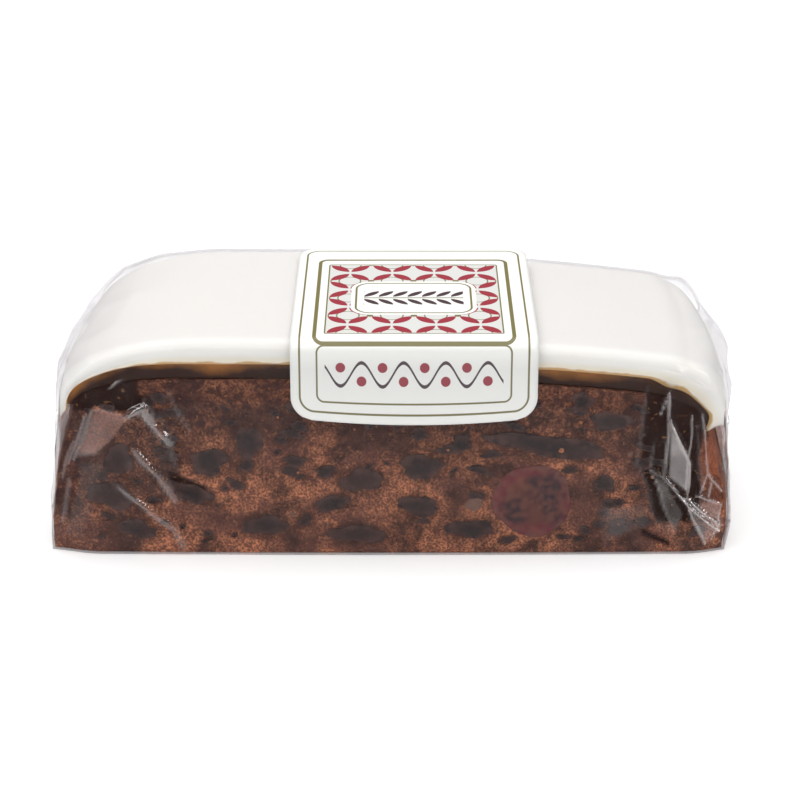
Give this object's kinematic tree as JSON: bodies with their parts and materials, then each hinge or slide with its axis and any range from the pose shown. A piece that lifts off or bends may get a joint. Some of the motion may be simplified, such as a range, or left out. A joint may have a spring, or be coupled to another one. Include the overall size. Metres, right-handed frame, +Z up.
{
  "type": "iced fruit cake bar",
  "caption": "Cut bar of dark fruit cake with marzipan and white icing on top, wrapped in clear film with a paper label folded over its top front edge.",
  "frame": {"origin": "centre of the wrapped bar's box, on the surface that it rests on", "axes": "+X along the bar's length, +Z up through the layers, and the cut face with the label's hanging end looks to -Y"},
  "size_m": [0.1651, 0.0686, 0.0547],
  "materials": {
    "crumb": "moist brown cake crumb, cut face",
    "marzipan": "golden brown almond paste, moist and glossy",
    "icing": "smooth soft white sugar icing",
    "cherry": "cut dark red cherry, moist",
    "dried_fruit": "cut dried fruit, nearly black",
    "film": "clear glossy wrapping film",
    "label": "white coated paper"
  },
  "bodies": {
    "root": {"crumb": "crumb", "marzipan": "marzipan", "icing": "icing", "cherry_front": "cherry", "cherry_rear": "cherry", "prune_front": "dried_fruit", "raisin_front_1": "dried_fruit", "raisin_front_2": "dried_fruit", "raisin_front_3": "dried_fruit", "raisin_front_4": "dried_fruit", "raisin_front_5": "dried_fruit", "raisin_front_6": "dried_fruit", "raisin_front_7": "dried_fruit", "raisin_front_8": "dried_fruit", "raisin_front_9": "dried_fruit", "raisin_front_10": "dried_fruit", "raisin_front_11": "dried_fruit", "raisin_front_12": "dried_fruit", "raisin_front_13": "dried_fruit", "raisin_front_14": "dried_fruit", "raisin_rear_1": "dried_fruit", "raisin_rear_2": "dried_fruit", "raisin_rear_3": "dried_fruit", "raisin_rear_4": "dried_fruit", "raisin_rear_5": "dried_fruit", "raisin_rear_6": "dried_fruit", "raisin_rear_7": "dried_fruit", "raisin_rear_8": "dried_fruit", "film": "film", "label": "label"}
  },
  "joints": []
}
